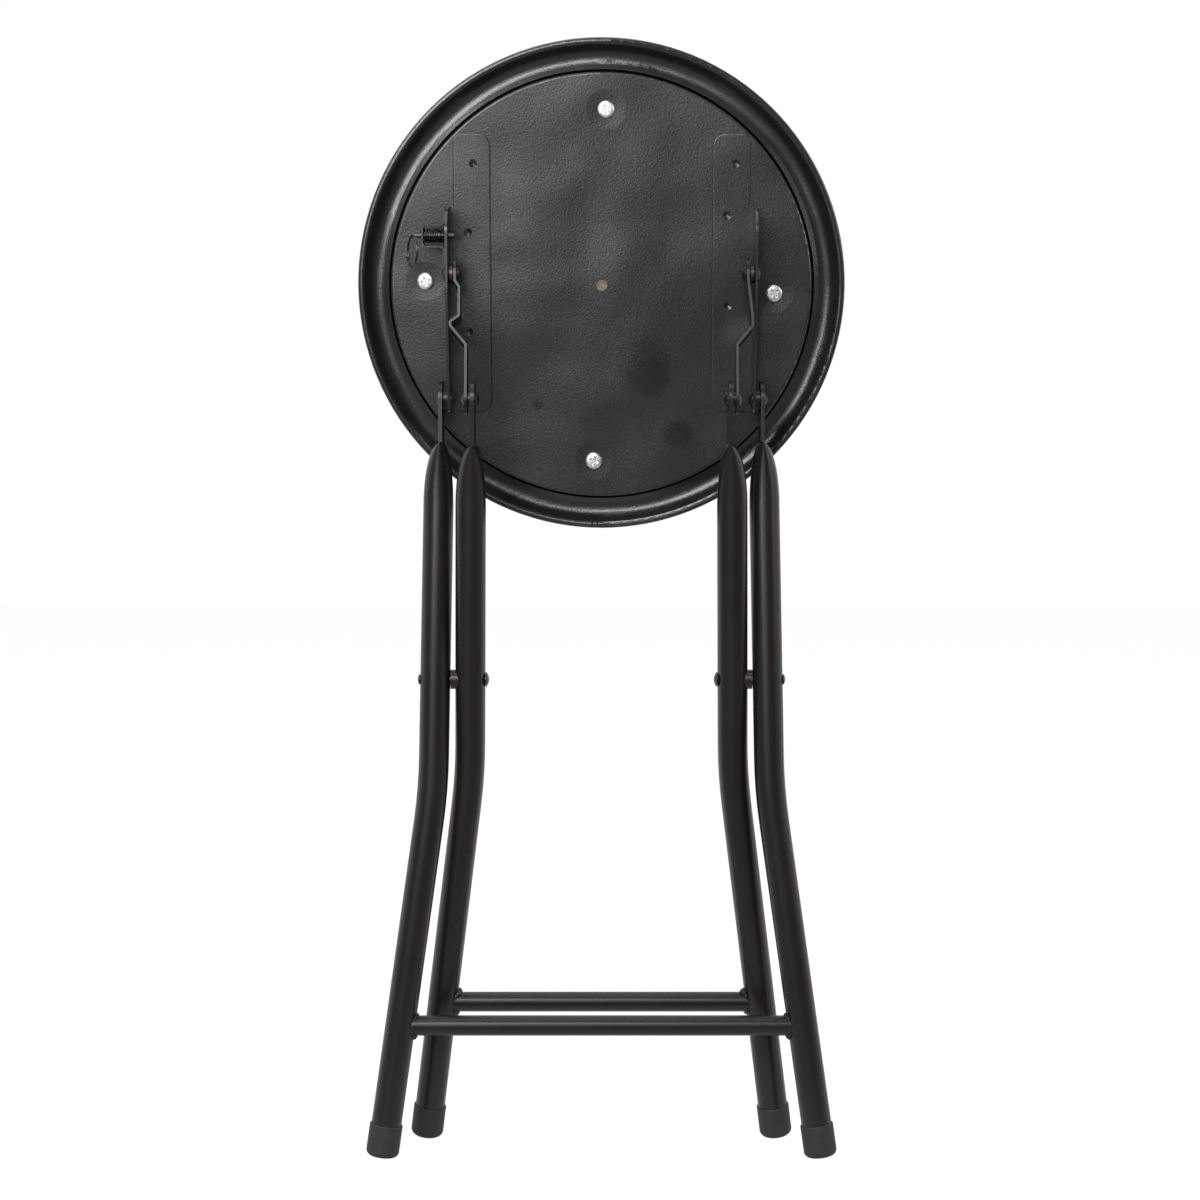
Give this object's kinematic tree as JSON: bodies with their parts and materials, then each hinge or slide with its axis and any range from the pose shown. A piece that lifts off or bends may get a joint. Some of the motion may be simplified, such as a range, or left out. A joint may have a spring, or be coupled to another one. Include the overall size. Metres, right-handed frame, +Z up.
{
  "type": "folding stool",
  "caption": "Round padded stool on crossed tubular leg frames; the seat swings on links to fold flat, and a sprung pull pin locks it open.",
  "frame": {"origin": "on the floor, in the middle of the folded stool's box, as the picture shows it standing", "axes": "+Z up; +X to the right, along the pivots; -Y towards the underside of the seat, which the picture shows"},
  "size_m": [0.3, 0.0934, 0.6847],
  "materials": {
    "black_powder": "satin",
    "foot_rubber": "matte",
    "board": "matte",
    "cushion_cover": "satin",
    "zinc": "satin",
    "pin_steel": "satin",
    "spacer_brass": "satin"
  },
  "bodies": {
    "cross_pivots": {"cross_rivets": "black_powder"},
    "outer_frame": {"left_outer_leg": "black_powder", "right_outer_leg": "black_powder", "left_outer_foot": "foot_rubber", "right_outer_foot": "foot_rubber", "outer_rung": "black_powder"},
    "inner_frame": {"left_inner_leg": "black_powder", "right_inner_leg": "black_powder", "left_inner_foot": "foot_rubber", "right_inner_foot": "foot_rubber", "inner_rung": "black_powder", "inner_leg_rivets": "black_powder", "cross_spacers": "black_powder"},
    "seat": {"seat_pan": "black_powder", "seat_board": "board", "seat_cushion": "cushion_cover", "cushion_screws": "zinc", "left_bracket": "black_powder", "right_bracket": "black_powder", "lock_cage": "black_powder", "leg_rivets": "black_powder", "leg_washers": "black_powder", "link_rivets": "black_powder", "link_spacers": "spacer_brass", "lock_spring": "zinc"},
    "links": {"left_link": "black_powder", "right_link": "black_powder", "link_end_rivets": "black_powder"},
    "lock_pin": {"lock_pin": "pin_steel", "pin_collar": "pin_steel"},
    "pull_ring": {"pull_ring": "zinc"}
  },
  "joints": [
    {"name": "outer_swing", "type": "hinge", "parent": "cross_pivots", "child": "outer_frame", "pos_m": [0, -0.01512, 0.29425], "axis": [-1, 0, 0], "range_deg": [-2.2, 24.2]},
    {"name": "inner_swing", "type": "hinge", "parent": "cross_pivots", "child": "inner_frame", "pos_m": [0, -0.01512, 0.29425], "axis": [1, 0, 0], "range_deg": [-1.8, 19.8]},
    {"name": "seat_fold", "type": "hinge", "parent": "outer_frame", "child": "seat", "pos_m": [0, -0.00822, 0.46611], "axis": [1, 0, 0], "range_deg": [-9, 107.31]},
    {"name": "link_swing", "type": "hinge", "parent": "seat", "child": "links", "pos_m": [0, -0.0246, 0.54101], "axis": [-1, 0, 0], "range_deg": [-14.5, 171.1]},
    {"name": "pin_pull", "type": "slide", "parent": "seat", "child": "lock_pin", "axis": [1, 0, 0], "range_m": [-0.006, 0.0022], "stiffness_N_per_m": 600, "deforming": ["lock_spring"]},
    {"name": "ring_swing", "type": "hinge", "parent": "lock_pin", "child": "pull_ring", "pos_m": [-0.1142, -0.02505, 0.56382], "axis": [0, 0.9931, 0.1171], "range_deg": [-5, 90]}
  ],
  "couplings": [
    {"joint": "outer_swing", "follows": "seat_fold", "ratio": 0.22397},
    {"joint": "inner_swing", "follows": "seat_fold", "ratio": 0.18297},
    {"joint": "link_swing", "follows": "seat_fold", "ratio": 1.5931}
  ]
}
